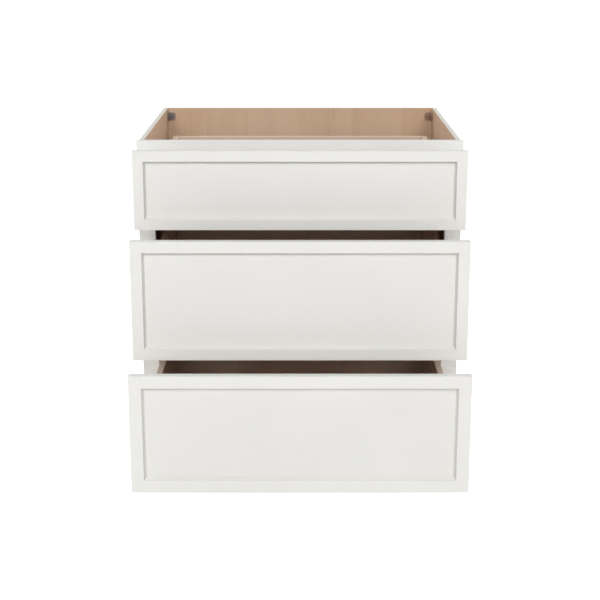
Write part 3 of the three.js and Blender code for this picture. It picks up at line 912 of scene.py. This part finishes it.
def make_screw_tree():
    sizes = {"Head Diameter": (LENGTH, 8 * MM), "Head Height": (LENGTH, 2.2 * MM)}
    tree, given, result = new_tree("pan_head_screws", sizes)
    width, height = given["Head Diameter"], given["Head Height"]
    radius = maths(tree, "MULTIPLY", width, 0.5)
    form = {"Vertices": HEAD_SIDES, "Side Segments": HEAD_RINGS, "Depth": height}
    form.update({"Radius Top": radius, "Radius Bottom": radius})
    drum = add(tree, "GeometryNodeMeshCone", form).outputs["Mesh"]
    parts = at_points(tree)
    rise = maths(tree, "DIVIDE", parts["Z"], height)
    drop = maths(tree, "MULTIPLY", maths(tree, "MULTIPLY", rise, rise), HEAD_DROP)
    pull = maths(tree, "SQRT", maths(tree, "SUBTRACT", 1.0, drop))
    pulled = {letter: maths(tree, "MULTIPLY", parts[letter], pull) for letter in "XY"}
    curved = {"Geometry": drum, "Position": vector(tree, **pulled, Z=parts["Z"])}
    head = add(tree, "GeometryNodeSetPosition", curved).outputs[0]

    exactly = {"operation": "DIFFERENCE", "solver": "EXACT"}
    cross = add(tree, "GeometryNodeMeshBoolean", {"Mesh 1": head}, **exactly)
    long, narrow = (maths(tree, "MULTIPLY", width, share) for share in (CROSS_LENGTH, CROSS_WIDTH))
    lift = vector(tree, Z=maths(tree, "MULTIPLY", height, CROSS_LIFT))
    for across, along in ((long, narrow), (narrow, long)):
        size = vector(tree, X=across, Y=along, Z=height)
        bar = add(tree, "GeometryNodeMeshCube", {"Size": size}).outputs["Mesh"]
        moved = add(tree, "GeometryNodeTransform", {"Geometry": bar, "Translation": lift})
        tree.links.new(moved.outputs[0], cross.inputs["Mesh 2"])
    head = crisp(tree, cross.outputs["Mesh"], HEAD_CREASE)
    deliver(tree, given, result, stand_on_points(tree, given, head))
    return tree


screw_tree = make_screw_tree()
print("the tree of", screw_tree.name, "has", len(screw_tree.nodes), "nodes")

# %% [markdown]
# Each fixed runner member is held by two screws through its flange into the stile, and two through
# its foot into the back panel. The heads sit on the steel, over the holes that the solids have.

# %% Runner screws
FLANGE_SHEET = 1.5 * MM
FLANGE_GAP = 0.3 * MM
FOOT_INSET = 8.5 * MM
SCREW_DROPS = (7.5 * MM, 17.5 * MM)
opening_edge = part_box("face_stile_right")[0].x
flange_face = opening_edge - FLANGE_GAP - FLANGE_SHEET
foot_middle = opening_edge + FOOT_INSET
frame_middle = (FACE_PLANE + face_frame_high.y) / 2

places = []
for drawer in DRAWERS:
    rail_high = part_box(f"{drawer}_runner_rail_right")[1]
    for sign in SIDES.values():
        for drop in SCREW_DROPS:
            height = rail_high.z - drop
            places.append(((sign * flange_face, frame_middle, height), (-sign, 0, 0)))
            foot = (sign * foot_middle, rail_high.y - FLANGE_SHEET, height)
            places.append((foot, (0, -1, 0)))
sizes = {"Head Diameter": 8 * MM, "Head Height": 2 * MM, "Seed": 3, "Finish": zinc_screw}
set_down("runner_screws", screw_tree, places, "cabinet", "steel", **sizes)

# %% [markdown]
# A front is screwed on from inside its box, with wide flat heads that spread the pull over the
# wood. A deep drawer has two rows of them, the shallow one has one.

# %% Front screws
FRONT_SCREW_REACH = 0.24
FRONT_SCREW_LIFT = 5 * MM
FRONT_ROW_SPREAD = 45 * MM
FRONT_SEED = 10
sizes = {"Head Diameter": 11 * MM, "Head Height": 2.4 * MM, "Finish": zinc_screw}


def facing_the_wall(reach, depth, rows):
    """Places to the left and to the right at each height, which face the wall."""
    return [((sign * reach, depth, row), (0, 1, 0)) for sign in SIDES.values() for row in rows]


for number, drawer in enumerate(DRAWERS):
    low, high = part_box(f"{drawer}_box_front")
    middle = (low.z + high.z) / 2 + FRONT_SCREW_LIFT
    rows = (middle,)
    if drawer != "top":
        rows = (middle - FRONT_ROW_SPREAD, middle + FRONT_ROW_SPREAD)
    places = facing_the_wall(FRONT_SCREW_REACH, high.y, rows)
    name, body = f"{drawer}_front_screws", f"{drawer}_drawer"
    set_down(name, screw_tree, places, body, "steel", Seed=FRONT_SEED + number, **sizes)

# %% [markdown]
# ### Bumpers
#
# Four small gel pads on the back of each front keep it from knocking against the face frame. Their
# tree presses a ball to a low dome with a flat back.

# %% Bumpers
BUMPER_INSET = 18 * MM
BUMPER_CREASE = math.radians(60)
BUMPER_SEED = 20


def make_bumper_tree():
    sizes = {"Diameter": (LENGTH, 8 * MM), "Height": (LENGTH, 1.4 * MM)}
    tree, given, result = new_tree("gel_bumpers", sizes)
    form = {"Radius": 1.0, "Subdivisions": 4}
    ball = add(tree, "GeometryNodeMeshIcoSphere", form).outputs["Mesh"]
    parts = at_points(tree)
    radius = maths(tree, "MULTIPLY", given["Diameter"], 0.5)
    dome = {letter: maths(tree, "MULTIPLY", parts[letter], radius) for letter in "XY"}
    upper = maths(tree, "MAXIMUM", parts["Z"], 0.0)
    dome["Z"] = maths(tree, "MULTIPLY", upper, given["Height"])
    pressed = {"Geometry": ball, "Position": vector(tree, **dome)}
    pad = add(tree, "GeometryNodeSetPosition", pressed).outputs[0]
    pad = crisp(tree, pad, BUMPER_CREASE)
    deliver(tree, given, result, stand_on_points(tree, given, pad))
    return tree


bumper_tree = make_bumper_tree()
for number, drawer in enumerate(DRAWERS):
    low, high = front_box(drawer)
    rows = (low.z + 2 * BUMPER_INSET, high.z - BUMPER_INSET)
    places = facing_the_wall(high.x - BUMPER_INSET, high.y, rows)
    name, body = f"{drawer}_bumpers", f"{drawer}_drawer"
    sizes = {"Seed": BUMPER_SEED + number, "Finish": bumper_gel}
    set_down(name, bumper_tree, places, body, "grey_plastic", **sizes)

# %% [markdown]
# ### Bearing balls
#
# Steel balls roll between the runner members, in rows along both sides of each carriage. They show
# where a drawer is pulled out. The tree makes each row itself: a line of points with a named count
# and pitch on every given point, and a small ball on each of those.

# %% Bearing balls
BALL_DIAMETER = 4 * MM
BALL_PITCH = 9 * MM
BALL_COUNT = 14
BALL_STANDS_PROUD = 0.3 * MM
FIRST_BALL = 8 * MM
HEAD_HEIGHT = 8.2 * MM


def make_ball_tree():
    sizes = {
        "Ball Diameter": (LENGTH, BALL_DIAMETER),
        "Count": (NUMBER, 10),
        "Pitch": (LENGTH, BALL_PITCH),
    }
    tree, given, result = new_tree("bearing_balls", sizes)
    form = {"Radius": maths(tree, "MULTIPLY", given["Ball Diameter"], 0.5), "Subdivisions": 2}
    ball = add(tree, "GeometryNodeMeshIcoSphere", form).outputs[0]
    ball = add(tree, "GeometryNodeSetShadeSmooth", {"Geometry": ball}).outputs[0]
    form = {"Count": given["Count"], "Offset": vector(tree, Y=given["Pitch"])}
    line = add(tree, "GeometryNodeMeshLine", form).outputs[0]
    copies = {"Points": given["Points"], "Instance": line}
    rows = add(tree, "GeometryNodeInstanceOnPoints", copies).outputs[0]
    spots = add(tree, "GeometryNodeRealizeInstances", {0: rows}).outputs[0]
    balls = add(tree, "GeometryNodeInstanceOnPoints", {"Points": spots, "Instance": ball})
    deliver(tree, given, result, balls.outputs[0])
    return tree


ball_tree = make_ball_tree()
sunk = BALL_DIAMETER / 2 - BALL_STANDS_PROUD
sizes = {"Ball Diameter": BALL_DIAMETER, "Count": BALL_COUNT, "Finish": zinc_screw}
for drawer in DRAWERS:
    places = []
    for side in SIDES:
        low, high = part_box(f"{drawer}_runner_carriage_{side}")
        for across in (low.x + sunk, high.x - sunk):
            for height in (low.z + HEAD_HEIGHT / 2, high.z - HEAD_HEIGHT / 2):
                places.append(((across, low.y + FIRST_BALL, height), (0, 0, 1)))
    name, body = f"{drawer}_bearing_balls", f"{drawer}_carriage"
    set_down(name, ball_tree, places, body, "steel", **sizes)

# %% [markdown]
# ## Locking clips
#
# Under the front corners of each box, a plastic clip takes hold of the sliding member, and a lever
# on it lets the drawer go. Each clip is a plate, a housing and a ribbed lever: blocks whose upright
# edges are rounded widely and whose other edges are eased, because it is a moulding. Two small
# screws hold its plate from below, behind the lever.

# %% Clips
LEVEL_FACE, NEARLY_LEVEL = 0.9, 0.99
CLIP_INSET = 0.5 * MM
CLIP_CLEARANCE = 0.8 * MM
RIBS = 5
RIB_START, RIB_PITCH, RIB_WIDTH = 17, 4.5, 1.6  # in millimetres, as the blocks below
CLIP_SCREWS_ACROSS = (8 * MM, 30 * MM)
CLIP_SCREW_ALONG, PLATE_THICKNESS = 55 * MM, 2.5 * MM
CLIP_SEED = 30


def rounded_block(bm, low, high, corner, arris):
    """Adds a block with wide rounds on its upright edges and small ones on the others."""
    size = high - low
    made = bmesh.ops.create_cube(bm, size=1.0)["verts"]
    for vert in made:
        vert.co = low + Vector([(co + 0.5) * span for co, span in zip(vert.co, size)])
    upright = {edge for vert in made for edge in vert.link_edges}
    upright = [edge for edge in upright if abs(edge.verts[0].co.z - edge.verts[1].co.z) > WELD]
    before = set(bm.faces) - {face for vert in made for face in vert.link_faces}
    rounded = {"offset": corner, "segments": 5, "profile": 0.5, "affect": "EDGES"}
    bmesh.ops.bevel(bm, geom=upright, **rounded)
    new_faces = [face for face in bm.faces if face not in before]
    ends = [face for face in new_faces if abs(face.normal.z) > LEVEL_FACE]
    rim = list({edge for face in ends for edge in face.edges})
    rounded.update(offset=arris, segments=2)
    bmesh.ops.bevel(bm, geom=rim, **rounded)
    for face in bm.faces:
        if face not in before and abs(face.normal.z) < NEARLY_LEVEL:
            face.smooth = True


def locking_clip(drawer, side):
    """Makes a clip under the bottom and tells its corner beside the sliding member."""
    sign = SIDES[side]
    inner_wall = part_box(f"{drawer}_box_front")[1].y + CLIP_INSET
    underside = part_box(f"{drawer}_box_bottom")[0].z
    slide_low, slide_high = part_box(f"{drawer}_runner_slide_{side}")
    edge = (slide_low.x if sign > 0 else -slide_high.x) - CLIP_CLEARANCE
    slide_corner = (edge, inner_wall, underside)

    def block(x, y, z, corner, arris):
        """Adds a block: its spans from that corner and its rounds, in millimetres."""
        low = [start + span[0] * MM for start, span in zip(slide_corner, (x, y, z))]
        high = [start + span[1] * MM for start, span in zip(slide_corner, (x, y, z))]
        if sign < 0:
            low[0], high[0] = -high[0], -low[0]
        rounded_block(clip, Vector(low), Vector(high), corner * MM, arris * MM)

    clip = bmesh.new()
    block((-40, 0), (0, 62), (-2.5, 0), 4, 0.4)
    block((-34, -3), (4, 48), (-10.5, -2.3), 5, 1)
    block((-52, -30), (14, 40), (-8.5, -3.5), 4, 1.2)
    for rib in range(RIBS):
        at = RIB_START + RIB_PITCH * rib
        block((-50, -38), (at, at + RIB_WIDTH), (-9.3, -8.3), 0.6, 0.3)
    mesh = new_mesh(clip, f"{drawer}_locking_clip_{side}", [clip_plastic])
    new_piece(mesh, f"{drawer}_drawer")
    return slide_corner


sizes = {"Head Diameter": 7 * MM, "Head Height": 1.8 * MM, "Finish": zinc_screw}
for number, drawer in enumerate(DRAWERS):
    places = []
    for side, sign in SIDES.items():
        edge, inner_wall, underside = locking_clip(drawer, side)
        along, below = inner_wall + CLIP_SCREW_ALONG, underside - PLATE_THICKNESS
        for across in CLIP_SCREWS_ACROSS:
            places.append(((sign * (edge - across), along, below), (0, 0, -1)))
    name, body = f"{drawer}_clip_screws", f"{drawer}_drawer"
    set_down(name, screw_tree, places, body, "steel", Seed=CLIP_SEED + number, **sizes)

# %% [markdown]
# ## The studio
#
# The cabinet stands on a white floor that runs back to a white horizon. Two soft boxes hang high
# in front, a little to each side, so that the hollow edges of the fronts draw a clear line. A
# weaker one near the camera reaches under the drawers, two behind light the back and the inside,
# and two low ones stand square to the sides. The world fills in evenly from all round. All are at a
# plain level, so that paint renders about as its colour is written.
#
# The pure white ground of a catalogue picture comes from the floor and the world, not from more
# light. Light Path tells the floor and the world whether a camera sees them: there, the floor adds
# a steady glow to a weaker share of its real shading, which comes to white in the open and keeps a
# soft shadow under the cabinet. Further out, where the lamps' light fades, the glow rises to white
# by itself. Reflections and clear things see the same white. The cabinet itself gets only a faint
# lift from below.

# %% World and floor
WHITE = (1.0, 1.0, 1.0, 1.0)
WORLD_LEVEL = 0.12
FLOOR_GLOW_NEAR, FLOOR_GLOW_FAR = 0.9, 1.0
GLOW_START, GLOW_END = 0.9, 2.4  # metres from the middle
FLOOR_SHARE = 0.55
FLOOR_BOUNCE = 0.85
FLOOR_LIFT = 0.13
FLOOR_REACH = 60.0


def seen_directly(tree):
    """1 for a ray that comes from the camera, a mirror or a clear thing."""
    ray = add(tree, "ShaderNodeLightPath").outputs
    camera_or_mirror = maths(tree, "MAXIMUM", ray["Is Camera Ray"], ray["Is Glossy Ray"])
    return maths(tree, "MAXIMUM", camera_or_mirror, ray["Is Transmission Ray"])


def between(tree, factor, unseen, seen):
    """One value for rays that light the cabinet, and one for rays that see directly."""
    sizes = {"Value": factor, "To Min": unseen, "To Max": seen}
    return add(tree, "ShaderNodeMapRange", sizes).outputs["Result"]


world = bpy.data.worlds.new("white_studio")
world.use_nodes = True
scene.world = world
sky = world.node_tree
sky.nodes["Background"].inputs["Color"].default_value = WHITE
level = between(sky, seen_directly(sky), WORLD_LEVEL, 1.0)
sky.links.new(level, sky.nodes["Background"].inputs["Strength"])

ground = bpy.data.materials.new("studio_floor")
ground.use_nodes = True
tree = ground.node_tree
tree.nodes.remove(tree.nodes["Principled BSDF"])
seen = seen_directly(tree)
share = between(tree, seen, FLOOR_BOUNCE, FLOOR_SHARE)
matt = add(tree, "ShaderNodeBsdfDiffuse", {"Color": share})
where = add(tree, "ShaderNodeTexCoord").outputs["Object"]
away = add(tree, "ShaderNodeVectorMath", {0: where}, operation="LENGTH").outputs["Value"]
reach = {"Value": away, "From Min": GLOW_START, "From Max": GLOW_END}
reach.update({"To Min": FLOOR_GLOW_NEAR, "To Max": FLOOR_GLOW_FAR})
glowing = add(tree, "ShaderNodeMapRange", reach, interpolation_type="SMOOTHSTEP").outputs["Result"]
strength = between(tree, seen, FLOOR_LIFT, glowing)
glow = add(tree, "ShaderNodeEmission", {"Color": WHITE, "Strength": strength})
both = add(tree, "ShaderNodeAddShader", {0: matt.outputs[0], 1: glow.outputs[0]})
tree.links.new(both.outputs[0], tree.nodes["Material Output"].inputs["Surface"])

grid = bmesh.new()
bmesh.ops.create_grid(grid, x_segments=1, y_segments=1, size=FLOOR_REACH)
floor_mesh = bpy.data.meshes.new("studio_floor")
grid.to_mesh(floor_mesh)
grid.free()
floor_mesh.materials.append(ground)
floor = bpy.data.objects.new("studio_floor", floor_mesh)
scene.collection.objects.link(floor)
print("floor", 2 * FLOOR_REACH, "m wide, world level", WORLD_LEVEL)

# %% Lamps
MIDDLE = (0.0, -0.1, 0.45)
FRONT_LIGHT = ((0.0, -7.8, 3.0), 3.2, 88)  # place, size and watts
PAIRED_LIGHTS = {
    "high_light": ((2.7, -6.3, 5.0), 3.2, 183),
    "back_light": ((2.1, 2.2, 2.7), 1.6, 33),
    "side_light": ((3.0, 0.6, 1.2), 1.6, 19),
}


def soft_box(name, place, size, watts):
    """A large square lamp that faces the middle of the cabinet."""
    lamp = bpy.data.lights.new(name, "AREA")
    lamp.shape = "SQUARE"
    lamp.size = size
    lamp.energy = watts
    holder = bpy.data.objects.new(name, lamp)
    holder.location = place
    holder.rotation_euler = (Vector(place) - Vector(MIDDLE)).to_track_quat("Z", "Y").to_euler()
    scene.collection.objects.link(holder)


soft_box("front_light", *FRONT_LIGHT)
for side, sign in SIDES.items():
    for name, ((x, y, z), size, watts) in PAIRED_LIGHTS.items():
        soft_box(f"{name}_{side}", (sign * x, y, z), size, watts)
